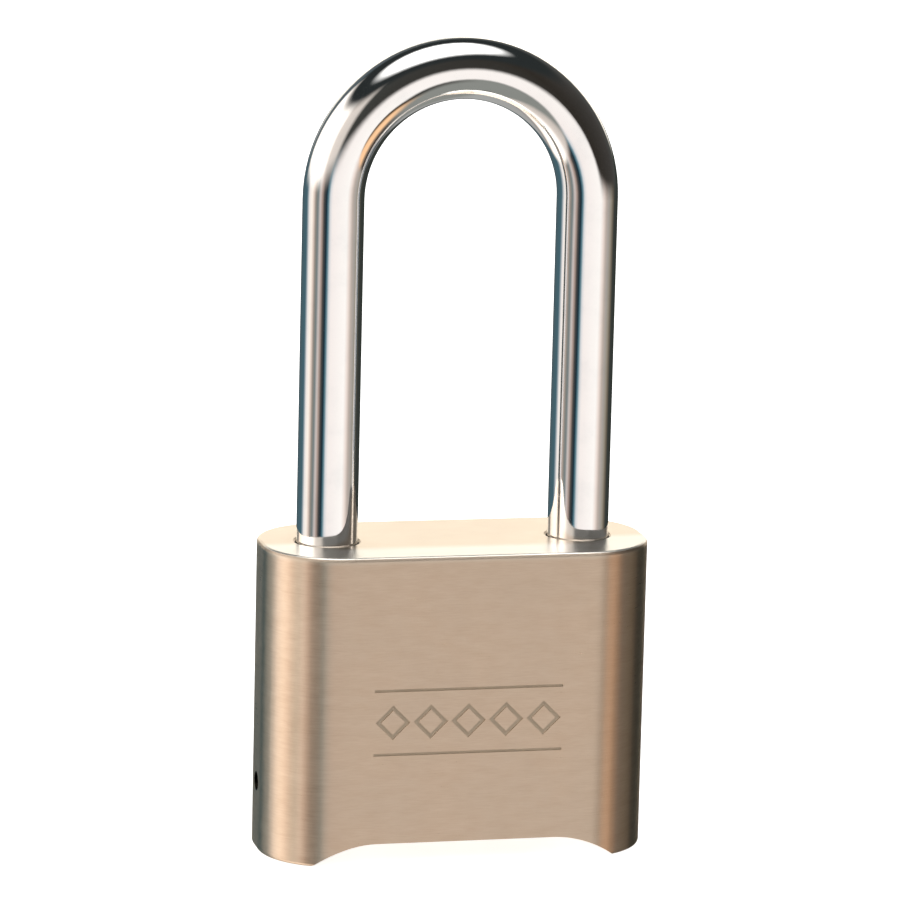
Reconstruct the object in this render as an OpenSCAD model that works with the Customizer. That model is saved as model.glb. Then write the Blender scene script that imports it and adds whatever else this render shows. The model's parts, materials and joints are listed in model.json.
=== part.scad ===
// Combination padlock with a solid body, a long shackle and four number dials in the underside.
// Millimetres. X is the width, Y the depth with the front at -Y, Z is up.
// The origin is at the middle of the base. The lock is drawn closed with its combination dialled.

/* [Body] */
// Width of the body, end to end
body_w = 50.8; // [46:0.1:62]
// Thickness of the body, front to back
body_t = 22.2; // [20:0.1:28]
// Height of the body
body_h = 40.6; // [33:0.1:50]
// Width of the flat strip at each end, between the rounded corners
end_flat = 2.8; // [1:0.1:8]
// Rounding of the top and bottom edges
edge_r = 0.5; // [0.2:0.1:1]
// Half width of the flat roof of the arch under the body
arch_flat = 11.6; // [11:0.1:14]
// Height of the arch under the body
arch_h = 3; // [2.4:0.1:3.8]
// Radius of the arch's curved shoulders
arch_r = 13.4; // [8:0.1:16]

/* [Shackle] */
// Diameter of the shackle rod
rod_d = 7.94; // [6.6:0.01:9.6]
// Clear gap between the two legs
shackle_gap = 25.4; // [21:0.1:31]
// Clear height from the body to the inside of the bend
shackle_clear = 57.15; // [25:0.05:80]
// Radial clearance of a leg in its bore
leg_clear = 0.13; // [0.06:0.01:0.25]
// Bevel at the mouth of each leg's bore
mouth_bevel = 0.3; // [0.1:0.05:0.6]
// Length of the short leg inside the body
toe_depth = 12.4; // [9:0.1:16]
// Gap left under the short leg when the shackle is up
open_gap = 2; // [1:0.1:4]
// Length of the long leg below its neck
foot_len = 2.2; // [1.6:0.1:2.6]
// Bevel on the ends of both legs
leg_bevel = 0.8; // [0.4:0.1:1.2]

/* [Dials] */
// Outer radius of a dial ring
dial_r = 8; // [6.6:0.05:9.6]
// How far the dials stand out of the arch's roof
dial_drop = 2; // [1.4:0.1:2.4]
// Thickness of the ribs between the dials
rib_t = 0.5; // [0.4:0.05:0.9]
// Side clearance of a dial in its slot
dial_side_clear = 0.1; // [0.05:0.01:0.15]
// Clearance over a dial's rim in its slot
dial_rim_clear = 0.3; // [0.2:0.05:0.5]
// Bevel on a dial's rim
dial_bevel = 0.3; // [0.1:0.05:0.5]
// Radius of the finger grooves across a dial's rim
groove_r = 0.55; // [0.3:0.05:0.8]
// Depth of those grooves
groove_depth = 0.3; // [0.15:0.05:0.4]

/* [Hubs and spindle] */
// Outer radius of a hub
hub_r = 4.25; // [3.9:0.05:5.1]
// Height of the driving teeth above the hub
tooth_h = 0.7; // [0.5:0.05:0.9]
// Width of a driving tooth
tooth_w = 1.4; // [1:0.05:1.7]
// Length of the driving teeth along the axle
tooth_len = 0.8; // [0.6:0.05:0.8]
// Radius of the spindle
spindle_r = 1.6; // [1.3:0.05:2]
// Height of the spindle's fins above the spindle
fin_h = 1.3; // [0.9:0.05:1.4]
// Thickness of a fin along the spindle
fin_t = 0.8; // [0.6:0.05:0.9]
// Width of a fin across the spindle
fin_w = 1.4; // [1.2:0.05:1.7]
// Thickness of the gate wall inside a hub
gate_t = 0.9; // [0.7:0.05:1]
// Thickness of the body's wall between the last hub and the long leg
bolt_wall = 1.02; // [0.8:0.01:1.4]
// Running clearance, on a radius
run_clear = 0.06; // [0.03:0.01:0.08]
// Free space between parts that slide past each other
pass_clear = 0.1; // [0.08:0.01:0.12]

/* [Pins, springs and change gear] */
// Diameter of the hole for the change tool
tool_hole_d = 2.4; // [2:0.1:3]
// Length of the change collar
collar_len = 4.6; // [4:0.1:5.6]
// Diameter of the pin that keeps the shackle in the body
keeper_d = 2.4; // [2:0.1:2.9]
// Diameter of the pin that stops the change collar turning
key_pin_d = 2; // [1.6:0.1:2.4]
// Wire diameter of the shackle spring
shackle_wire = 0.4; // [0.3:0.05:0.45]
// Wire diameter of the spindle spring and the hub spring
small_wire = 0.35; // [0.3:0.05:0.4]
// Thickness of the detent spring's strip
strip_t = 0.3; // [0.25:0.05:0.35]
// Width of a finger of the detent spring
finger_w = 2.6; // [1.8:0.1:3]

/* [Engraving] */
// Half length of the two rules on the front
rule_half = 12.4; // [8:0.1:13]
// Height of the lower rule above the base
rule_z = 14.8; // [12:0.1:18]
// Distance between the two rules
rule_gap = 8.4; // [6:0.1:12]
// Width of an engraved line
engrave_w = 0.35; // [0.2:0.05:0.6]
// Depth of the engraving
engrave_depth = 0.12; // [0.08:0.01:0.2]
// Number of lozenges between the rules
lozenges = 5; // [3:1:7]

/* [Hidden] */
$fn = 64;

dials = 4;
numbers = 10;
through = 1;                // how far a cutter runs past a face
touch = 0.02;               // between a spring or a loose part and its seat
corner_r = (body_t - end_flat) / 2;

// how far the spindle moves to lock, and the hubs to free the dials
fin_offset = (fin_t + gate_t) / 2 + pass_clear;
bolt_travel = 2 * fin_offset;
change_travel = fin_offset;

// shackle
rod_r = rod_d / 2;
leg_x = (shackle_gap + rod_d) / 2;
leg_bore_r = rod_r + leg_clear;
leg_wall_x = leg_x - leg_bore_r;
nose_gap = 0.12;            // from the resting spindle's nose to the long leg's bore
neck_gap = 0.15;            // from a pin or the nose to the bottom of the neck
neck_depth = bolt_travel - leg_clear - nose_gap + neck_gap;
neck_r = rod_r - neck_depth;
neck_len = 2 * spindle_r + 4 * pass_clear;
bend_z = body_h + shackle_clear - shackle_gap / 2;
toe_z = body_h - toe_depth;
toe_floor_z = toe_z - 0.5;
lift = toe_depth + open_gap;

// dials
dial_z = arch_h - dial_drop + dial_r;
nose_x = leg_wall_x - nose_gap;
bore_end_x = leg_wall_x - bolt_wall;
stack_end = bore_end_x - change_travel;
dial_pitch = 2 * stack_end / dials;
dial_w = dial_pitch - rib_t - 2 * dial_side_clear;
slot_w = dial_w + 2 * dial_side_clear;
slot_r = dial_r + dial_rim_clear;

// long leg, its neck and the pin that runs in its track
neck_z = dial_z - neck_len / 2;
foot_z = neck_z - foot_len;
heel_floor_z = foot_z - 0.8;
keeper_r = keeper_d / 2;
keeper_z = neck_z + lift + keeper_r + pass_clear;
keeper_tip_x = leg_x + neck_r + neck_gap;
track_w = keeper_d + 2 * pass_clear;
track_z1 = keeper_z + track_w / 2;
spring_bore_r = neck_r - 0.57;
spring_bore_top = keeper_z - 4;

// hubs and the bore that holds them
hub_len = dial_pitch - pass_clear;
ring_bore_r = hub_r + run_clear;
tooth_r = hub_r + tooth_h;
relief_r = tooth_r + pass_clear;
main_bore_r = relief_r + 0.05;
spline_len = tooth_len + pass_clear;
tooth_x0 = -dial_w / 2 + pass_clear / 2;
relief_end = tooth_x0 + tooth_len + change_travel + pass_clear;
fin_r = spindle_r + fin_h;
annulus_r = fin_r + 2 * pass_clear;
seat_r = annulus_r + 0.85;
seat_len = 1.3;
washer_t = 0.3;
washer_x = stack_end - pass_clear / 2 - seat_len + touch;

// change gear, to the left of the hubs
collar_x1 = -stack_end - pass_clear;
collar_x0 = collar_x1 - collar_len;
collar_r = main_bore_r - pass_clear;
nub_r = 0.5;
nub_at = collar_r - 0.8;
nub_len = 2.1;
cam_rise = 0.9;             // over a quarter turn, at the nub
cam_low_x = collar_x0 - nub_len - 0.15;
cam_x0 = cam_low_x - 4;
plug_x1 = cam_x0 - pass_clear;
tail_w = 1.5 * spindle_r;
tail_x0 = cam_low_x + 0.3;
square_end_x = collar_x1 - 0.5;
cam_bore_r = tail_w / sqrt(2) + 2 * pass_clear;
cam_bore_x0 = cam_x0 + 1.7;
tool_slot = [1.2, 2.2, 0.9];
key_pin_x = collar_x0 + 1.8;
key_pin_r = key_pin_d / 2;
key_depth = 1.1;

// detent spring, in a pocket behind the dials
pocket_y0 = slot_r - 0.2;
pocket_y1 = pocket_y0 + 1.4;
pocket_half = stack_end - 0.6;
pocket_top = dial_z + 5;
strip_y1 = pocket_y1 - pass_clear;
strip_y0 = strip_y1 - strip_t;
bow_y = dial_r + pass_clear;
groove_y = dial_r + groove_r - groove_depth;

function dial_x(i) = (i - (dials + 1) / 2) * dial_pitch;

brass = [0.80, 0.68, 0.50];
bright_brass = [0.86, 0.74, 0.52];
chrome = [0.82, 0.84, 0.86];
steel = [0.62, 0.63, 0.65];
spring_steel = [0.45, 0.46, 0.48];

// ---- shared shapes ----

// Upright rectangle with rounded corners, base on the X axis
module soft_rect(w, h, r) {
  translate([-w / 2 + r, 0]) square([w - 2 * r, h]);
  translate([-w / 2, r]) square([w, h - 2 * r]);
  for (x = [-w / 2 + r, w / 2 - r], z = [r, h - r]) translate([x, z]) circle(r);
}

// Block with round upright corners and rounded top and bottom edges
module soft_block(w, t, h, r, e) {
  rotate([90, 0, 90]) linear_extrude(w - 2 * r, center = true) soft_rect(t, h, e);
  rotate([90, 0, 0]) linear_extrude(t - 2 * r, center = true) soft_rect(w, h, e);
  for (x = [-1, 1], y = [-1, 1])
    translate([x * (w / 2 - r), y * (t / 2 - r), 0])
      rotate_extrude() intersection() {
        soft_rect(2 * r, h, e);
        square([r, h]);
      }
}

// Cylinder along X from x0 to x1
module bar_x(x0, x1, r) {
  translate([x0, 0, 0]) rotate([0, 90, 0]) cylinder(h = x1 - x0, r = r);
}

// Closed tube along a list of points, for spring wire, from its first point to its last
module wire(path, r, sides = 6) {
  n = len(path);
  rings = [for (i = [0:n - 1])
    let (
      t = path[min(i + 1, n - 1)] - path[max(i - 1, 0)],
      d = t / norm(t),
      u0 = cross(d, abs(d.z) < 0.9 ? [0, 0, 1] : [1, 0, 0]),
      u = u0 / norm(u0),
      v = cross(d, u)
    )
    for (k = [0:sides - 1]) path[i] + r * (u * cos(360 * k / sides) + v * sin(360 * k / sides))];
  walls = [for (i = [0:n - 2], k = [0:sides - 1])
    let (a = i * sides + k, b = i * sides + (k + 1) % sides)
    for (f = [[a, a + sides, b], [b, a + sides, b + sides]]) f];
  first = [[for (k = [0:sides - 1]) k]];
  last = [[for (k = [sides - 1:-1:0]) (n - 1) * sides + k]];
  polyhedron(points = rings, faces = concat(first, walls, last));
}

// Compression spring from z0 to z1, with a flat coil at each end
module coil_z(z0, z1, mean_r, wire_d, turns) {
  steps = 14;
  rise = z1 - z0 - wire_d;
  dead = 1;
  path = [for (i = [0:steps * turns])
    let (n = i / steps, s = min(max((n - dead) / (turns - 2 * dead), 0), 1))
    [mean_r * cos(360 * n), mean_r * sin(360 * n), z0 + wire_d / 2 + rise * (0.9 * s + 0.1 * n / turns)]];
  wire(path, wire_d / 2);
}

// The same spring lying along X
module coil_x(x0, x1, mean_r, wire_d, turns) {
  rotate([0, 90, 0]) coil_z(x0, x1, mean_r, wire_d, turns);
}

// ---- body ----

// Outline of the arch under the body, seen from the front
module arch_outline() {
  translate([-arch_flat, -through]) square([2 * arch_flat, arch_h + through]);
  for (side = [0, 1]) mirror([side, 0]) intersection() {
    translate([arch_flat, arch_h - arch_r]) circle(arch_r, $fn = 128);
    translate([arch_flat, -through]) square([arch_r, arch_h + through]);
  }
}

module dial_slot(i) {
  translate([dial_x(i), 0, 0]) {
    translate([0, 0, dial_z]) bar_x(-slot_w / 2, slot_w / 2, slot_r);
    translate([-slot_w / 2, -slot_r, -through]) cube([slot_w, 2 * slot_r, dial_z + through]);
  }
}

module engraving() {
  y = -body_t / 2 - through;
  depth = through + engrave_depth;
  for (z = [rule_z, rule_z + rule_gap])
    translate([-rule_half, y, z - engrave_w / 2]) cube([2 * rule_half, depth, engrave_w]);
  pitch = 2 * rule_half / lozenges;
  for (i = [0:lozenges - 1])
    translate([(i - (lozenges - 1) / 2) * pitch, y, rule_z + rule_gap / 2])
      rotate([-90, 0, 0]) linear_extrude(depth) difference() {
        lozenge(0.27 * rule_gap);
        lozenge(0.27 * rule_gap - 2 * engrave_w);
      }
}

module lozenge(half) {
  polygon([[-half, 0], [0, half], [half, 0], [0, -half]]);
}

// Short reading line at each end of the row of dials, in the arch's roof
module index_marks() {
  for (side = [0, 1]) mirror([side, 0, 0])
    translate([stack_end + 0.2, -engrave_w / 2, 0]) cube([1.2, engrave_w, arch_h + 0.3]);
}

// Bore for a leg, from z0 up through the top, bevelled at its mouth
module leg_bore(z0) {
  translate([0, 0, z0]) cylinder(h = body_h, r = leg_bore_r);
  translate([0, 0, body_h - mouth_bevel]) rotate_extrude()
    polygon([[0, 0], [leg_bore_r, 0], [leg_bore_r + 2 * mouth_bevel, 2 * mouth_bevel],
      [0, 2 * mouth_bevel]]);
}

module body() {
  color(brass) difference() {
    soft_block(body_w, body_t, body_h, corner_r, edge_r);
    rotate([90, 0, 0]) linear_extrude(body_t + 2 * through, center = true) arch_outline();
    translate([-leg_x, 0, 0]) leg_bore(toe_floor_z);
    translate([leg_x, 0, 0]) leg_bore(heel_floor_z);
    translate([0, 0, dial_z]) {
      bar_x(-body_w / 2 - through, bore_end_x, main_bore_r);
      bar_x(bore_end_x - through, leg_x, spindle_r + run_clear);
    }
    for (i = [1:dials]) dial_slot(i);
    translate([-pocket_half, pocket_y0, -through])
      cube([2 * pocket_half, pocket_y1 - pocket_y0, pocket_top + through]);
    translate([0, 0, keeper_z]) bar_x(leg_x, body_w / 2 + through, keeper_r);
    translate([key_pin_x, 0, dial_z]) rotate([-90, 0, 0])
      cylinder(h = body_t, r = key_pin_r);
    engraving();
    index_marks();
  }
}

// ---- shackle ----

// Plain round leg with a bevelled end, from z0 up to the bend
module leg(z0) {
  translate([0, 0, z0 + leg_bevel]) cylinder(h = bend_z - z0 - leg_bevel, r = rod_r);
  translate([0, 0, z0]) rotate_extrude()
    polygon([[0, 0], [rod_r - leg_bevel, 0], [rod_r, leg_bevel], [0, leg_bevel]]);
}

module shackle() {
  color(chrome) difference() {
    union() {
      translate([-leg_x, 0, 0]) leg(toe_z);
      translate([leg_x, 0, 0]) leg(foot_z);
      translate([0, 0, bend_z]) rotate([90, 0, 0])
        rotate_extrude(angle = 180) translate([leg_x, 0]) circle(rod_r);
    }
    translate([leg_x, 0, 0]) {
      translate([0, 0, neck_z]) rotate_extrude()
        translate([neck_r, 0]) square([neck_depth + through, neck_len]);
      translate([neck_r, -track_w / 2, dial_z])
        cube([neck_depth + through, track_w, track_z1 - dial_z]);
      translate([0, 0, foot_z - through])
        cylinder(h = spring_bore_top - foot_z + through, r = spring_bore_r);
    }
  }
}

module keeper_pin() {
  color(steel) intersection() {
    translate([0, 0, keeper_z]) bar_x(keeper_tip_x, body_w / 2, keeper_r);
    soft_block(body_w, body_t, body_h, corner_r, edge_r);
  }
}

module shackle_spring() {
  color(spring_steel) translate([leg_x, 0, 0])
    coil_z(heel_floor_z + touch, spring_bore_top - touch,
      spring_bore_r - shackle_wire / 2 - pass_clear, shackle_wire, 16);
}

// ---- dials, hubs and spindle ----

// Ring that carries the numbers: slots for the hub's teeth at its left, plain bearing at its right
module dial(i) {
  color(bright_brass) translate([dial_x(i), 0, dial_z]) difference() {
    rotate([0, 90, 0]) rotate_extrude()
      polygon([
        [0, -dial_w / 2], [dial_r - dial_bevel, -dial_w / 2], [dial_r, -dial_w / 2 + dial_bevel],
        [dial_r, dial_w / 2 - dial_bevel], [dial_r - dial_bevel, dial_w / 2], [0, dial_w / 2]
      ]);
    bar_x(-dial_w, dial_w, ring_bore_r);
    bar_x(-dial_w / 2 + spline_len, relief_end, relief_r);
    for (k = [0:numbers - 1]) rotate([360 * k / numbers, 0, 0]) {
      translate([-dial_w / 2 - through, -tooth_w / 2 - 1.5 * pass_clear, 0])
        cube([spline_len + through + touch, tooth_w + 3 * pass_clear, relief_r]);
      translate([0, groove_y, 0]) bar_x(-dial_w, dial_w, groove_r);
    }
  }
}

// Gated sleeve inside a dial: teeth at its left end, a wall with one keyway at its middle
module hub(i) {
  color(steel) translate([dial_x(i), 0, dial_z]) difference() {
    union() {
      bar_x(-hub_len / 2, hub_len / 2, hub_r);
      intersection() {
        bar_x(tooth_x0, tooth_x0 + tooth_len, tooth_r);
        for (k = [0:numbers - 1]) rotate([360 * k / numbers, 0, 0])
          translate([-hub_len / 2, -tooth_w / 2, 0]) cube([hub_len, tooth_w, tooth_r + through]);
      }
    }
    bar_x(-hub_len, -gate_t / 2, annulus_r);
    bar_x(gate_t / 2, hub_len, annulus_r);
    bar_x(-hub_len, hub_len, spindle_r + run_clear);
    bar_x(hub_len / 2 - seat_len, hub_len, seat_r);
    translate([-hub_len / 2, -fin_w / 2 - pass_clear, 0])
      cube([hub_len, fin_w + 2 * pass_clear, annulus_r]);
  }
}

module locking_spindle() {
  tip_r = 0.9;
  tip_len = 0.8;
  color(steel) translate([0, 0, dial_z]) {
    bar_x(square_end_x, nose_x - tip_len, spindle_r);
    translate([nose_x - tip_len, 0, 0]) rotate([0, 90, 0]) rotate_extrude()
      polygon([[0, 0], [spindle_r, 0], [tip_r, tip_len], [0, tip_len]]);
    translate([tail_x0, -tail_w / 2, -tail_w / 2])
      cube([square_end_x + touch - tail_x0, tail_w, tail_w]);
    for (i = [1:dials])
      translate([dial_x(i) - fin_offset - fin_t / 2, -fin_w / 2, 0]) cube([fin_t, fin_w, fin_r]);
  }
}

module hub_washer() {
  color(steel) translate([0, 0, dial_z]) difference() {
    bar_x(washer_x, washer_x + washer_t, seat_r - run_clear);
    bar_x(washer_x - through, washer_x + through, annulus_r);
  }
}

module hub_spring() {
  color(spring_steel) translate([0, 0, dial_z])
    coil_x(washer_x + washer_t + touch, bore_end_x - touch, annulus_r + pass_clear + small_wire / 2,
      small_wire, 3);
}

// ---- change gear ----

// Collar that moves the hubs clear of the dials: it slides, but a pin stops it turning
module change_collar() {
  color(steel) translate([0, 0, dial_z]) {
    difference() {
      union() {
        bar_x(collar_x0, collar_x1 - change_travel, collar_r);
        bar_x(collar_x0, collar_x1, hub_r);
      }
      translate([collar_x0 - through, -tail_w / 2 - run_clear, -tail_w / 2 - run_clear])
        cube([collar_len + 2 * through, tail_w + 2 * run_clear, tail_w + 2 * run_clear]);
      bar_x(square_end_x - change_travel - pass_clear, collar_x1 + through, annulus_r);
      translate([collar_x0 - through, collar_r - key_depth, -key_pin_r - pass_clear])
        cube([key_pin_x + key_pin_r + pass_clear - collar_x0 + through, key_depth + through,
          key_pin_d + 2 * pass_clear]);
    }
    translate([0, -nub_at, 0]) bar_x(collar_x0 - nub_len, collar_x0 + 0.5, nub_r);
  }
}

// Face cam that the change tool turns: its right face is one slanting plane
module change_cam() {
  slope = atan(cam_rise / nub_at);
  color(bright_brass) translate([0, 0, dial_z]) difference() {
    bar_x(cam_x0, collar_x0, collar_r);
    translate([cam_low_x, -nub_at, 0]) rotate([0, 0, -slope])
      translate([0, -body_t, -body_t]) cube([body_t, 2 * body_t, 2 * body_t]);
    bar_x(cam_bore_x0, collar_x0 + through, cam_bore_r);
    translate([cam_x0 - through, -tool_slot.y / 2, -tool_slot.z / 2])
      cube([tool_slot.x + through, tool_slot.y, tool_slot.z]);
  }
}

module spindle_spring() {
  color(spring_steel) translate([0, 0, dial_z])
    coil_x(cam_bore_x0 + touch, tail_x0 - touch, cam_bore_r - small_wire / 2 - pass_clear,
      small_wire, 4);
}

module collar_key_pin() {
  color(bright_brass) intersection() {
    translate([key_pin_x, collar_r - key_depth + pass_clear, dial_z]) rotate([-90, 0, 0])
      cylinder(h = body_t, r = key_pin_r);
    soft_block(body_w, body_t, body_h, corner_r, edge_r);
  }
}

module end_plug() {
  color(brass) difference() {
    intersection() {
      translate([0, 0, dial_z]) bar_x(-body_w / 2, plug_x1, main_bore_r);
      soft_block(body_w, body_t, body_h, corner_r, edge_r);
    }
    translate([0, 0, dial_z]) bar_x(-body_w / 2 - through, plug_x1 + through, tool_hole_d / 2);
  }
}

// ---- detent spring ----

// Strip with one bowed finger behind each dial, its round bump in a groove of the rim
module detent_spring() {
  low_z = arch_h + 0.6;
  rail_z = pocket_top - 1.7;
  rail_h = 1.6;
  color(spring_steel) {
    translate([-pocket_half + pass_clear, strip_y0, rail_z])
      cube([2 * (pocket_half - pass_clear), strip_t, rail_h]);
    for (i = [1:dials])
      translate([dial_x(i) - finger_w / 2, 0, 0]) rotate([90, 0, 90]) linear_extrude(finger_w) {
        polygon([
          [strip_y0, low_z], [strip_y1, low_z], [bow_y + 1.5 * strip_t, dial_z], [strip_y1, rail_z],
          [strip_y1, rail_z + strip_t], [strip_y0, rail_z + strip_t], [bow_y, dial_z]
        ]);
        intersection() {
          translate([groove_y, dial_z]) circle(groove_r - run_clear);
          translate([0, dial_z - groove_r]) square([bow_y + strip_t, 2 * groove_r]);
        }
      }
  }
}

body();
shackle();
dial(1);  // dial_1
dial(2);  // dial_2
dial(3);  // dial_3
dial(4);  // dial_4
hub(1);  // hub_1
hub(2);  // hub_2
hub(3);  // hub_3
hub(4);  // hub_4
locking_spindle();
change_collar();
change_cam();
end_plug();
collar_key_pin();
keeper_pin();
detent_spring();
hub_washer();
hub_spring();
spindle_spring();
shackle_spring();
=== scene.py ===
import json
from math import cos, degrees, pi, radians, sin

import bmesh
import bpy
from mathutils import Matrix, Vector


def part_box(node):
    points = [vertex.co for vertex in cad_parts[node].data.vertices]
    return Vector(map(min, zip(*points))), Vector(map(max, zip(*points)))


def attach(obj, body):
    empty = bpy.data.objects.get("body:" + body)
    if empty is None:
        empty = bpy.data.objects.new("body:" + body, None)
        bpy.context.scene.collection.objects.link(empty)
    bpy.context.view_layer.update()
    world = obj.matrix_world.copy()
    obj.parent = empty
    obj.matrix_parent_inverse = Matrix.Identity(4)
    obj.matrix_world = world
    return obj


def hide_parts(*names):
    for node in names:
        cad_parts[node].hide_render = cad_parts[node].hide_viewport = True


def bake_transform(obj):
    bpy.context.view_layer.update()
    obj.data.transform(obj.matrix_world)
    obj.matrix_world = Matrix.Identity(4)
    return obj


mm = 0.001

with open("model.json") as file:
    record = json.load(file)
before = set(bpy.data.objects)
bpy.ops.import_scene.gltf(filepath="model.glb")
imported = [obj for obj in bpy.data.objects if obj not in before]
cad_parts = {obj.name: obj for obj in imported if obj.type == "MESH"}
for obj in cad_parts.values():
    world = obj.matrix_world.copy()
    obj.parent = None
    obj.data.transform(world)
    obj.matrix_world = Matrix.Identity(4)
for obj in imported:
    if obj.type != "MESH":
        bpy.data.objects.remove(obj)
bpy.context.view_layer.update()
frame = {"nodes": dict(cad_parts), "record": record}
nodes = frame["nodes"]


class Wire:  # a socket that can be added and multiplied
    def __init__(self, graph, socket):
        self.graph, self.socket = graph, socket

    def math(self, operation, first, second=None):
        sockets = {0: first}
        if second is not None:
            sockets[1] = second
        return self.graph.add("ShaderNodeMath", {"operation": operation}, sockets)

    def __add__(self, other):
        return self.math("ADD", self, other)

    def __radd__(self, other):
        return self.math("ADD", other, self)

    def __sub__(self, other):
        return self.math("SUBTRACT", self, other)

    def __rsub__(self, other):
        return self.math("SUBTRACT", other, self)

    def __mul__(self, other):
        return self.math("MULTIPLY", self, other)

    def __rmul__(self, other):
        return self.math("MULTIPLY", other, self)

    def __truediv__(self, other):
        return self.math("DIVIDE", self, other)

    def __pow__(self, other):
        return self.math("POWER", self, other)

    def size(self):
        return self.math("ABSOLUTE", self)

    def most(self, other):
        return self.math("MAXIMUM", self, other)

    def rise(self, start, end, low=0.0, high=1.0):  # eased step from low at start to high at end
        return self.graph.add(
            "ShaderNodeMapRange", {"interpolation_type": "SMOOTHSTEP"},
            {"Value": self, "From Min": start, "From Max": end, "To Min": low, "To Max": high})


class Graph:  # the nodes of one material or of the world
    def __init__(self, tree):
        self.tree = tree
        tree.nodes.clear()

    def add(self, kind, settings=None, sockets=None, output=0):
        node = self.tree.nodes.new(kind)
        for name, value in (settings or {}).items():
            if name == "stops":
                setStops(node.color_ramp, value)
            else:
                setattr(node, name, value)
        for name, value in (sockets or {}).items():
            if isinstance(value, Wire):
                self.tree.links.new(value.socket, node.inputs[name])
            else:
                node.inputs[name].default_value = value
        return Wire(self, node.outputs[output]) if node.outputs else node

    def blendColours(self, factor, first, second):
        return self.add("ShaderNodeMix", {"data_type": "RGBA"}, {0: factor, 6: first, 7: second}, 2)

    def scaled(self, vector, factors):
        return self.add("ShaderNodeVectorMath", {"operation": "MULTIPLY"}, {0: vector, 1: factors})

    def place(self):  # object coordinates in millimetres
        return self.scaled(self.add("ShaderNodeTexCoord", output="Object"), (1000, 1000, 1000))

    def parts(self, vector):
        split = self.add("ShaderNodeSeparateXYZ", {}, {0: vector})
        return [Wire(self, socket) for socket in split.socket.node.outputs]

    def metal(self, colour, roughness, normal, brushed=None):
        sockets = {"Base Color": colour, "Metallic": 1.0, "Roughness": roughness, "Normal": normal}
        return self.add("ShaderNodeBsdfPrincipled", {}, {**sockets, **(brushed or {})})

    def noise(self, vector, scale, detail=3.0, roughness=0.55):
        return self.add(
            "ShaderNodeTexNoise", {},
            {"Vector": vector, "Scale": scale, "Detail": detail, "Roughness": roughness})


def setStops(ramp, stops):
    while len(ramp.elements) < len(stops):
        ramp.elements.new(1.0)
    for element, (position, colour) in zip(ramp.elements, stops):
        element.position = position
        element.color = (*colour, 1.0)


def rgba(colour):
    return (*colour, 1.0)


def newMaterial(name):
    material = bpy.data.materials.new(name)
    material.use_nodes = True
    return material, Graph(material.node_tree)


viewPoint = {
    "azimuth": -13.52, "elevation": 11.54, "roll": 1.40,  # degrees
    "distance": 674.9, "aim": (0.0, 0.0, 50.0), "right": -0.588, "up": 2.089,  # millimetres
    "lens": 209.05,
}


def cameraAxes(azimuth, elevation, roll):
    back = Vector((sin(azimuth) * cos(elevation), -cos(azimuth) * cos(elevation), sin(elevation)))
    level = Vector((0, 0, 1)).cross(back).normalized()
    upright = back.cross(level)
    right = level * cos(roll) + upright * sin(roll)
    return right, back.cross(right), back


def addCamera(view):
    right, up, back = cameraAxes(*(radians(view[name]) for name in ("azimuth", "elevation", "roll")))
    aim = Vector(view["aim"])
    spot = aim + back * view["distance"]
    aim += right * view["right"] + up * view["up"]
    back = (spot - aim).normalized()
    right = (right - back * right.dot(back)).normalized()
    data = bpy.data.cameras.new("camera")
    data.lens, data.sensor_width = view["lens"], 36
    data.clip_start, data.clip_end = 0.01, 20
    camera = bpy.data.objects.new("camera", data)
    turn = Matrix((right, back.cross(right), back)).transposed().to_4x4()
    camera.matrix_world = Matrix.Translation(spot * mm) @ turn
    bpy.context.scene.collection.objects.link(camera)
    bpy.context.scene.camera = camera


addCamera(viewPoint)
print("camera placed")


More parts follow.
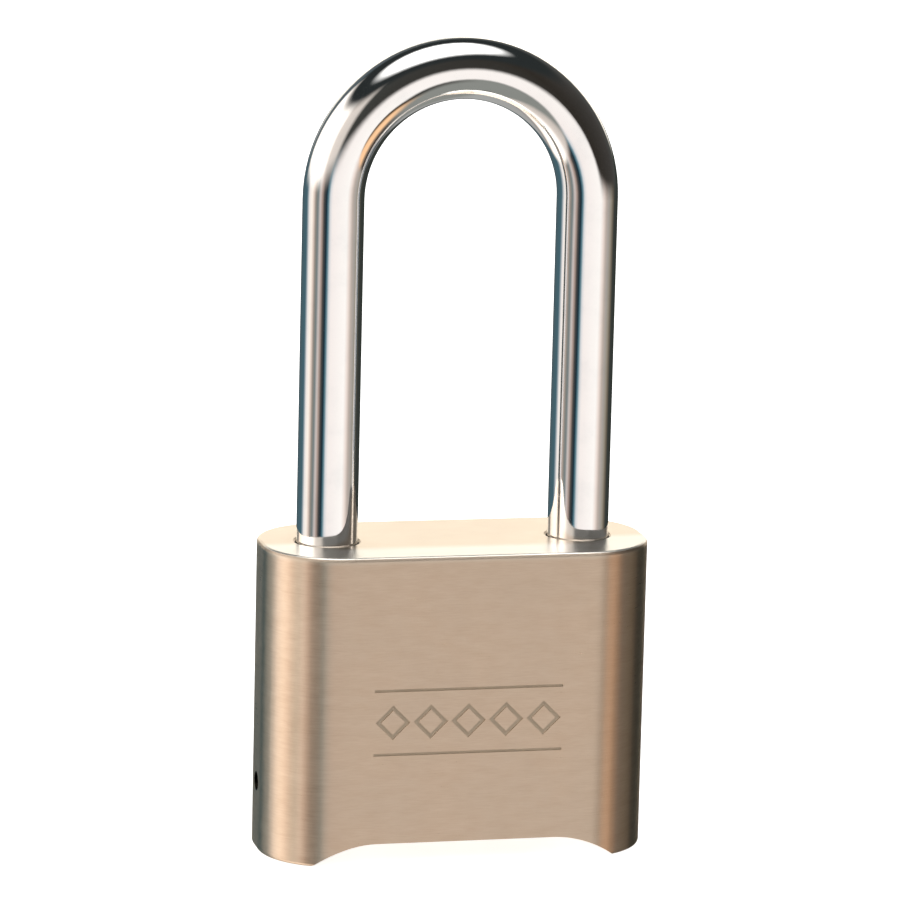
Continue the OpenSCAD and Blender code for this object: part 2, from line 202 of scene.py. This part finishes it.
studio = {  # soft boxes and dark screens that the metal mirrors, and a pale floor
    "facing": -13.52,  # azimuth that the lights are laid out around, degrees
    "paleLight": (1.02, 1.015, 1.01),
    "overhead": (2.6, 2.55, 2.45), "backdrop": (1.84, 1.72, 1.50),
    "under": (0.27, 0.275, 0.25), "over": (0.022, 0.026, 0.026),
    # heights of their soft edges, degrees
    "underEdge": (-50, -36), "overEdge": (30, 44), "overheadEdge": (55, 71), "tilt": 9,
    "bandBottom": (-38, -30), "bandTop": (-5, 10), "backdropFrom": (-2, 6), "backdropTo": (17, 26),
    "bandMiddle": -11.5, "bandSqueeze": 1.4,  # the band is narrower to the right
    # sideways or backward share of the direction where each of these starts and is full
    "squeezeFrom": (0.62, 0.85), "rightSide": (0.05, 0.2), "backdropSpan": (0.75, 0.93),
    "floorHalf": 4.0,  # metres
    "floorColour": (0.93, 0.93, 0.925), "floorGlow": (0.80, 0.80, 0.795),
    "floorRoughness": 0.8, "floorShine": 0.1,
    # angle from the camera, to the right, then the colour there just under the camera's height
    "band": [
        (-180, (0.24, 0.25, 0.24)), (-163, (0.07, 0.10, 0.11)),
        (-114, (0.06, 0.13, 0.16)), (-106, (0.30, 0.36, 0.39)), (-98, (0.90, 0.84, 0.80)),
        (-84, (1.10, 0.98, 0.86)), (-75, (0.78, 0.62, 0.53)), (-67, (0.30, 0.26, 0.22)),
        (-57, (0.18, 0.22, 0.22)), (-48, (0.66, 0.58, 0.54)), (-41, (0.46, 0.34, 0.29)),
        (-33, (0.07, 0.065, 0.06)), (-23, (0.002, 0.025, 0.04)), (-16, (0.14, 0.26, 0.31)),
        (-10, (0.74, 0.74, 0.74)), (-1, (1.0, 0.91, 0.86)), (54, (1.08, 1.02, 0.96)),
        (66, (0.92, 0.78, 0.70)), (78, (0.54, 0.45, 0.39)), (89, (0.42, 0.38, 0.34)),
        (101, (0.33, 0.29, 0.23)), (112, (0.17, 0.14, 0.10)), (124, (0.04, 0.045, 0.04)),
        (163, (0.03, 0.035, 0.03)), (180, (0.24, 0.25, 0.24)),
    ],
    "wall": [  # above that band
        (-180, (0.10, 0.105, 0.10)), (-150, (0.10, 0.12, 0.13)), (-134, (0.08, 0.11, 0.12)),
        (-124, (1.6, 1.46, 1.32)), (-104, (2.2, 2.0, 1.82)), (-62, (2.3, 2.1, 1.9)),
        (-50, (1.5, 1.38, 1.26)), (-40, (0.84, 0.74, 0.66)), (-20, (0.74, 0.66, 0.59)),
        (-10, (0.05, 0.05, 0.045)), (52, (0.03, 0.025, 0.02)), (110, (0.05, 0.045, 0.04)),
        (180, (0.10, 0.105, 0.10)),
    ],
    "table": [  # under it
        (-180, (0.4, 0.4, 0.38)), (-140, (0.40, 0.39, 0.37)), (-128, (0.30, 0.28, 0.26)),
        (-120, (1.1, 0.97, 0.86)), (-104, (1.6, 1.42, 1.24)), (-62, (1.7, 1.52, 1.34)),
        (-50, (1.1, 1.00, 0.92)), (-40, (0.80, 0.70, 0.62)), (-20, (0.62, 0.55, 0.49)),
        (-8, (0.27, 0.275, 0.25)), (29, (0.26, 0.265, 0.24)), (38, (0.10, 0.095, 0.085)),
        (50, (0.02, 0.02, 0.018)), (57, (0.10, 0.06, 0.035)), (65, (1.1, 0.66, 0.36)),
        (78, (1.1, 0.66, 0.36)), (88, (0.24, 0.17, 0.12)), (96, (0.04, 0.035, 0.03)),
        (118, (0.08, 0.08, 0.08)), (140, (0.38, 0.38, 0.37)), (180, (0.4, 0.4, 0.38)),
    ],
}


def aroundStops(table):  # angles from -180 to 180 become places on a colour ramp
    return [((angle + 180) / 360, colour) for angle, colour in table]


def addStudio(look):
    world = bpy.data.worlds.new("studio")
    world.use_nodes = True
    bpy.context.scene.world = world
    graph = Graph(world.node_tree)
    x, y, z = graph.parts(graph.add("ShaderNodeTexCoord", output="Generated"))
    facing = radians(look["facing"])
    ahead = x * sin(facing) - y * cos(facing)
    aside = x * cos(facing) + y * sin(facing)
    around = graph.add("ShaderNodeMath", {"operation": "ARCTAN2"}, {0: aside, 1: ahead}) / (2 * pi) + 0.5
    height = graph.add("ShaderNodeMath", {"operation": "ARCSINE"}, {0: z}) * degrees(1)
    band, wall, table = (
        graph.add("ShaderNodeValToRGB", {"stops": aroundStops(look[name])}, {0: around})
        for name in ("band", "wall", "table"))
    squeeze = aside.rise(*look["squeezeFrom"]) * look["bandSqueeze"] + 1
    inBand = (height - look["bandMiddle"]) * squeeze + look["bandMiddle"]
    mirrored = graph.blendColours(inBand.rise(*look["bandBottom"]), table, band)
    mirrored = graph.blendColours(inBand.rise(*look["bandTop"]), mirrored, wall)
    rightSide = aside.rise(*look["rightSide"])
    below = height.rise(*look["underEdge"], 1.0, 0.0) * rightSide
    mirrored = graph.blendColours(below, mirrored, rgba(look["under"]))
    mirrored = graph.blendColours(height.rise(*look["overEdge"]), mirrored, rgba(look["over"]))
    behind = (0 - ahead).rise(*look["backdropSpan"]) * height.rise(*look["backdropFrom"])
    behind = behind * height.rise(*look["backdropTo"], 1.0, 0.0)
    mirrored = graph.blendColours(behind, mirrored, rgba(look["backdrop"]))
    above = (height + ahead * look["tilt"]).rise(*look["overheadEdge"])
    mirrored = graph.blendColours(above, mirrored, rgba(look["overhead"]))
    isGlossy = graph.add("ShaderNodeLightPath", output="Is Glossy Ray")
    colour = graph.blendColours(isGlossy, rgba(look["paleLight"]), mirrored)
    background = graph.add("ShaderNodeBackground", {}, {"Color": colour})
    graph.add("ShaderNodeOutputWorld", {}, {"Surface": background})


def addFloor(look):
    half = look["floorHalf"]
    mesh = bpy.data.meshes.new("floor")
    corners = [(-half, -half, 0), (half, -half, 0), (half, half, 0), (-half, half, 0)]
    mesh.from_pydata(corners, [], [(0, 1, 2, 3)])
    floor = bpy.data.objects.new("floor", mesh)
    bpy.context.scene.collection.objects.link(floor)
    floor.visible_glossy = False  # the metal mirrors the soft boxes instead
    material, graph = newMaterial("paleFloor")
    shader = graph.add(
        "ShaderNodeBsdfPrincipled", {},
        {"Base Color": rgba(look["floorColour"]), "Roughness": look["floorRoughness"],
         "Specular IOR Level": look["floorShine"],
         "Emission Color": rgba(look["floorGlow"]), "Emission Strength": 1.0,
         "Alpha": 1 - graph.add("ShaderNodeNewGeometry", output="Backfacing")})  # seen from above only
    graph.add("ShaderNodeOutputMaterial", {}, {"Surface": shader})
    mesh.materials.append(material)


addStudio(studio)
addFloor(studio)
bpy.context.scene.view_settings.view_transform = "Standard"
print("studio built")


def bump(graph, height, depth):  # depth in millimetres
    return graph.add("ShaderNodeBump", {}, {"Height": height, "Distance": depth * mm, "Strength": 1.0})


brass = {
    "deep": (0.70, 0.54, 0.405), "pale": (0.86, 0.71, 0.57), "tintRange": (0.3, 1.0),
    "lines": 5.5,  # brushed lines to a millimetre
    "drift": 0.45,  # how fast they change along their length
    "broad": (0.6, 0.6, 0.16), "handled": 0.09, "lineDepth": 0.003,
    "lineTint": 0.6, "broadTint": 0.35, "handledTint": 0.35,
    "flatFrom": (0.6, 0.85),  # upward share of the normal where the top's own brushing takes over
    "roughness": 0.31, "topRoughness": 0.34, "anisotropy": 0.95, "brushedTurn": 0.25,
    "lineRoughness": 0.16, "handledRoughness": 0.08, "engravedRoughness": 0.15, "edgeRoughness": 0.3,
    "engraved": (0.76, 0.64, 0.50),
    "engravedFrom": (0.03, 0.08), "engravedTo": (0.4, 0.5),  # millimetres behind the front
    "engravedBottom": (13.0, 13.1), "engravedTop": (24.9, 25.0), "engravedSide": (13.0, 13.2),
    # painted highlight: the top face and the top edge of the sides are lightened toward cream, as if under
    # the overhead light
    "topPaintedHighlight": (0.97, 0.90, 0.79), "topHighlightShare": 0.4,
    "topFrom": (-1.1, -0.3), "edgeFrom": (-0.6, -0.3),  # millimetres from the top, and so is boreFrom
    "wornInkAndPaintedRim": (1.0, 0.985, 0.94), "paintedRimShare": 0.85,  # painted highlight along the front edge of the top
    "spine": 14.3, "paintedRimFrom": (3.8, 6.8), "paintedRimFront": (-3, 0),
    # inside the bores and the tool hole, with each wall as a squared radius
    "shadow": (0.035, 0.026, 0.018), "boreMiddle": 16.67, "boreWall": (17.04, 17.64), "boreFrom": (-14, -13),
    "toolHole": 9.0, "toolHoleWall": (1.5576, 1.5876), "toolHoleEnd": (-19, -18),
}


def brushedBrass(look, front, top):
    material, graph = newMaterial("brushedBrass")
    place = graph.place()
    x, y, z = graph.parts(place)
    upward = graph.parts(graph.add("ShaderNodeTexCoord", output="Normal"))[2]
    flatness = upward.size().rise(*look["flatFrom"])
    across, drift = look["lines"], look["drift"]
    sidePlace = graph.add("ShaderNodeCombineXYZ", {}, {0: x * drift, 1: y * drift, 2: z * across})
    topPlace = graph.add("ShaderNodeCombineXYZ", {}, {0: x * drift, 1: y * across, 2: z * drift})
    sideLines = graph.noise(sidePlace, 1.0, 5.0, 0.65)
    topLines = graph.noise(topPlace, 1.0, 5.0, 0.65)
    broadLines = graph.noise(graph.scaled(sidePlace, look["broad"]), 1.0, 2.0)
    handled = graph.noise(place, look["handled"], 3.0)
    lines = sideLines * (1 - flatness) + topLines * flatness
    tint = lines * look["lineTint"] + broadLines * look["broadTint"] + handled * look["handledTint"]
    colour = graph.blendColours(tint.rise(*look["tintRange"]), rgba(look["deep"]), rgba(look["pale"]))
    depth = y - front
    inEngraving = depth.rise(*look["engravedFrom"]) * depth.rise(*look["engravedTo"], 1.0, 0.0)
    inEngraving *= z.rise(*look["engravedBottom"]) * z.rise(*look["engravedTop"], 1.0, 0.0)
    inEngraving *= x.size().rise(*look["engravedSide"], 1.0, 0.0)
    colour = graph.blendColours(inEngraving, colour, rgba(look["engraved"]))
    level = z - top
    nearTop = level.rise(*look["topFrom"])
    # painted highlight: lighten the top toward cream where the overhead light falls
    colour = graph.blendColours(nearTop * look["topHighlightShare"], colour, rgba(look["topPaintedHighlight"]))
    fromSpine = ((x.size() - look["spine"]).most(0) ** 2 + y * y) ** 0.5
    # painted highlight: a pale cream band along the front half of the top face, fading out near the shackle
    # bores
    wornInkAndPaintedRim = fromSpine.rise(*look["paintedRimFrom"]) * y.rise(*look["paintedRimFront"], 1.0, 0.0) * flatness * nearTop
    colour = graph.blendColours(wornInkAndPaintedRim * look["paintedRimShare"], colour, rgba(look["wornInkAndPaintedRim"]))
    fromBore = (x.size() - look["boreMiddle"]) ** 2 + y * y
    inBore = fromBore.rise(*look["boreWall"], 1.0, 0.0) * level.rise(*look["boreFrom"])
    fromHole = y * y + (z - look["toolHole"]) ** 2
    inHole = fromHole.rise(*look["toolHoleWall"], 1.0, 0.0) * x.rise(*look["toolHoleEnd"], 1.0, 0.0)
    colour = graph.blendColours(inBore.most(inHole), colour, rgba(look["shadow"]))
    polish = (lines - 0.5) * look["lineRoughness"] + (handled - 0.5) * look["handledRoughness"]
    polish += inEngraving * look["engravedRoughness"]
    polish += level.rise(*look["edgeFrom"]) * (1 - flatness) * look["edgeRoughness"]
    normal = bump(graph, lines, look["lineDepth"])
    brushed = {"Anisotropic": look["anisotropy"], "Anisotropic Rotation": look["brushedTurn"]}
    sideMetal = graph.metal(colour, polish + look["roughness"], normal, brushed)
    topMetal = graph.metal(colour, polish + look["topRoughness"], normal)
    shader = graph.add("ShaderNodeMixShader", {}, {0: flatness, 1: sideMetal, 2: topMetal})
    graph.add("ShaderNodeOutputMaterial", {}, {"Surface": shader})
    return material


chrome = {
    "clear": (0.93, 0.94, 0.955), "hazy": (0.86, 0.88, 0.90),
    "haze": 0.22, "hazeTint": (0.45, 0.8), "hazeRange": (0.4, 0.8), "hazeRoughness": 0.03,
    "streaks": (2.2, 2.2, 0.03), "streakRange": (0.5, 0.9), "streakRoughness": 0.05,
    "roughness": 0.05, "ripple": 0.03,  # depth in millimetres
    "rippleScale": 0.16, "rippleStretch": (1, 1, 0.35),
    "dimples": 0.7, "dimpleShare": 0.045, "dimpleStretch": (1, 1, 0.5),
}


def polishedChrome(look):
    material, graph = newMaterial("polishedChrome")
    place = graph.place()
    haze = graph.noise(place, look["haze"], 4.0)
    streaks = graph.noise(graph.scaled(place, look["streaks"]), 1.0, 4.0, 0.7)
    ripple = graph.noise(graph.scaled(place, look["rippleStretch"]), look["rippleScale"], 1.0)
    dimples = graph.noise(graph.scaled(place, look["dimpleStretch"]), look["dimples"], 3.0)
    colour = graph.blendColours(haze.rise(*look["hazeTint"]), rgba(look["clear"]), rgba(look["hazy"]))
    roughness = haze.rise(*look["hazeRange"]) * look["hazeRoughness"]
    roughness += streaks.rise(*look["streakRange"]) * look["streakRoughness"] + look["roughness"]
    normal = bump(graph, dimples * look["dimpleShare"] + ripple, look["ripple"])
    graph.add("ShaderNodeOutputMaterial", {}, {"Surface": graph.metal(colour, roughness, normal)})
    return material


turned = {  # shared by the four turned metals
    "rings": (9.0, 0.12, 0.12), "ringDepth": 0.002, "ringTint": 0.6, "ringRoughness": 0.2,
    "tarnish": 0.7, "tarnishTint": 0.5, "tarnishRange": (0.45, 0.75), "tarnishRoughness": 0.1,
    "tintRange": (0.35, 0.8),
}
turnedFinishes = {
    "turnedBrass": {"deep": (0.74, 0.55, 0.30), "pale": (0.93, 0.74, 0.45), "roughness": 0.26},
    "dialBrass": {"deep": (0.76, 0.58, 0.34), "pale": (0.95, 0.77, 0.50), "roughness": 0.20},
    "pinSteel": {"deep": (0.42, 0.42, 0.43), "pale": (0.66, 0.66, 0.67), "roughness": 0.30},
    "springSteel": {"deep": (0.24, 0.24, 0.26), "pale": (0.50, 0.50, 0.53), "roughness": 0.34},
}


def turnedMetal(name, look):
    material, graph = newMaterial(name)
    place = graph.place()
    rings = graph.noise(graph.scaled(place, look["rings"]), 1.0, 4.0, 0.65)
    tarnish = graph.noise(place, look["tarnish"], 4.0)
    tint = (rings * look["ringTint"] + tarnish * look["tarnishTint"]).rise(*look["tintRange"])
    colour = graph.blendColours(tint, rgba(look["deep"]), rgba(look["pale"]))
    roughness = (rings - 0.5) * look["ringRoughness"]
    roughness += tarnish.rise(*look["tarnishRange"]) * look["tarnishRoughness"] + look["roughness"]
    shader = graph.metal(colour, roughness, bump(graph, rings, look["ringDepth"]))
    graph.add("ShaderNodeOutputMaterial", {}, {"Surface": shader})
    return material


ink = {
    "fresh": (0.012, 0.012, 0.014), "wornInkAndPaintedRim": (0.05, 0.048, 0.045), "wornRange": (0.5, 0.8),
    "grain": 6.0, "grainDepth": 0.004, "grainRoughness": 0.3, "roughness": 0.3,
}


def inkPaint(look):
    material, graph = newMaterial("numberInk")
    grain = graph.noise(graph.place(), look["grain"], 4.0)
    colour = graph.blendColours(grain.rise(*look["wornRange"]), rgba(look["fresh"]), rgba(look["wornInkAndPaintedRim"]))
    shader = graph.add(
        "ShaderNodeBsdfPrincipled", {},
        {"Base Color": colour, "Roughness": grain * look["grainRoughness"] + look["roughness"],
         "Normal": bump(graph, grain, look["grainDepth"])})
    graph.add("ShaderNodeOutputMaterial", {}, {"Surface": shader})
    return material


bodyLow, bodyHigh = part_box("body")
finishes = {name: turnedMetal(name, {**turned, **look}) for name, look in turnedFinishes.items()}
finishes["brushedBrass"] = brushedBrass(brass, bodyLow.y / mm, bodyHigh.z / mm)
finishes["polishedChrome"] = polishedChrome(chrome)
finishes["numberInk"] = inkPaint(ink)

finishOf = {
    "brushed_brass": "brushedBrass", "turned_brass": "turnedBrass", "dial_brass": "dialBrass",
    "polished_chrome": "polishedChrome", "pin_steel": "pinSteel", "spring_steel": "springSteel",
}
for part in frame["record"]["subparts"]:
    mesh = nodes[part["node"]].data
    mesh.materials.clear()
    mesh.materials.append(finishes[finishOf[part["material_slot"]]])


numbers = {
    "height": 3.7,  # type size, millimetres
    "proud": 0.03, "sunk": 0.06, "slice": 0.25,
    "count": 10, "facing": (2, 7, 4, 9),  # the number of each dial that reads from below
}


def flatDigit(digit, look):
    curve = bpy.data.curves.new("digit", "FONT")
    curve.body, curve.size = str(digit), look["height"]
    curve.align_x, curve.align_y = "CENTER", "CENTER"
    curve.resolution_u = 6
    typed = bpy.data.objects.new("digit", curve)
    bpy.context.scene.collection.objects.link(typed)
    bpy.context.view_layer.update()
    mesh = bpy.data.meshes.new_from_object(typed.evaluated_get(bpy.context.evaluated_depsgraph_get()))
    bpy.data.objects.remove(typed)
    bm = bmesh.new()
    bm.from_mesh(mesh)
    bmesh.ops.remove_doubles(bm, verts=bm.verts, dist=1e-4)
    widths, heights = [v.co.x for v in bm.verts], [v.co.y for v in bm.verts]
    low, high, middle = min(heights), max(heights), (min(widths) + max(widths)) / 2
    for v in bm.verts:
        v.co.x -= middle
        v.co.y -= (low + high) / 2
    cut = -(high - low) / 2 + look["slice"]
    while cut < (high - low) / 2:
        bmesh.ops.bisect_plane(
            bm, geom=bm.verts[:] + bm.edges[:] + bm.faces[:], plane_co=(0, cut, 0), plane_no=(0, 1, 0))
        cut += look["slice"]
    bmesh.ops.triangulate(bm, faces=bm.faces[:])
    grown = bmesh.ops.extrude_face_region(bm, geom=bm.faces[:])
    for v in grown["geom"]:
        if isinstance(v, bmesh.types.BMVert):
            v.co.z += look["proud"] + look["sunk"]
    bmesh.ops.recalc_face_normals(bm, faces=bm.faces[:])
    bm.verts.ensure_lookup_table()
    flat = [v.co.copy() for v in bm.verts], [[v.index for v in face.verts] for face in bm.faces]
    bm.free()
    return flat


def addNumbers(dial, facing, digits, look):
    low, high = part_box(f"dial_{dial}")
    middle = (low + high) / 2
    radius = (high.y - low.y) / 2 / mm
    points, faces = [], []
    for digit, (flat, rims) in enumerate(digits):
        start = len(points)
        turn = radians(-90 + (digit - facing) * 360 / look["count"])
        for spot in flat:
            angle = turn - spot.y / radius
            out = (radius - look["sunk"] + spot.z) * mm
            points.append(middle + Vector((spot.x * mm, out * cos(angle), out * sin(angle))))
        faces += [[start + i for i in rim] for rim in rims]
    mesh = bpy.data.meshes.new(f"dialNumbers_{dial}")
    mesh.from_pydata(points, [], faces)
    mesh.materials.append(finishes["numberInk"])
    piece = bpy.data.objects.new(f"dialNumbers_{dial}", mesh)
    bpy.context.scene.collection.objects.link(piece)
    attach(piece, f"dial_{dial}")


digits = [flatDigit(digit, numbers) for digit in range(numbers["count"])]
for dial, facing in enumerate(numbers["facing"], 1):
    addNumbers(dial, facing, digits, numbers)
print("numbers on", len(numbers["facing"]), "dials")


springs = {  # each is wound in the box of the spring part it replaces, between the two bodies it presses
    "shackle_spring": {
        "name": "liftSpring", "along": 2, "wire": 0.4, "turns": 16, "ends": ("lock_body", "shackle")},
    "spindle_spring": {
        "name": "boltSpring", "along": 0, "wire": 0.35, "turns": 4, "ends": ("lock_body", "spindle")},
    "hub_spring": {
        "name": "stackSpring", "along": 0, "wire": 0.35, "turns": 3, "ends": ("collar", "lock_body")},
}


def addSpring(node, look, steps=28, sides=10):
    low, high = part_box(node)
    along = look["along"]
    middle = (low + high) / 2
    wire = look["wire"] / 2 * mm
    across = [axis for axis in range(3) if axis != along]
    reach = min(high[axis] - low[axis] for axis in across) / 2 - wire
    count = steps * look["turns"]
    path = []
    for i in range(count + 1):
        done = i / count
        opened = min(max((done * look["turns"] - 1) / (look["turns"] - 2), 0), 1)
        share = 0.9 * opened + 0.1 * done  # the end coils lie close
        spot = Vector(middle)
        spot[along] = low[along] + wire + (high[along] - low[along] - 2 * wire) * share
        spot[across[0]] += reach * cos(2 * pi * i / steps)
        spot[across[1]] += reach * sin(2 * pi * i / steps)
        path.append(spot)
    points, faces = [], []
    for i, spot in enumerate(path):
        ahead = (path[min(i + 1, count)] - path[max(i - 1, 0)]).normalized()
        outward = Vector([spot[a] - middle[a] if a != along else 0 for a in range(3)]).normalized()
        side = ahead.cross(outward).normalized()
        outward = side.cross(ahead)
        for k in range(sides):
            angle = 2 * pi * k / sides
            points.append(spot + (outward * cos(angle) + side * sin(angle)) * wire)
    for i in range(count):
        for k in range(sides):
            a, b = i * sides + k, i * sides + (k + 1) % sides
            faces.append((a, b, b + sides, a + sides))
    faces.append(tuple(reversed(range(sides))))
    faces.append(tuple(range(count * sides, (count + 1) * sides)))
    mesh = bpy.data.meshes.new(look["name"])
    mesh.from_pydata(points, [], faces)
    bm = bmesh.new()
    bm.from_mesh(mesh)
    bmesh.ops.recalc_face_normals(bm, faces=bm.faces[:])
    bm.to_mesh(mesh)
    bm.free()
    for face in mesh.polygons:
        face.use_smooth = len(face.vertices) == 4
    mesh.materials.append(finishes["springSteel"])
    piece = bpy.data.objects.new(look["name"], mesh)
    bpy.context.scene.collection.objects.link(piece)
    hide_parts(node)
    start, end = Vector(middle), Vector(middle)
    start[along], end[along] = low[along], high[along]
    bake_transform(piece)


for node, look in springs.items():
    addSpring(node, look)
print("springs wound:", len(springs))
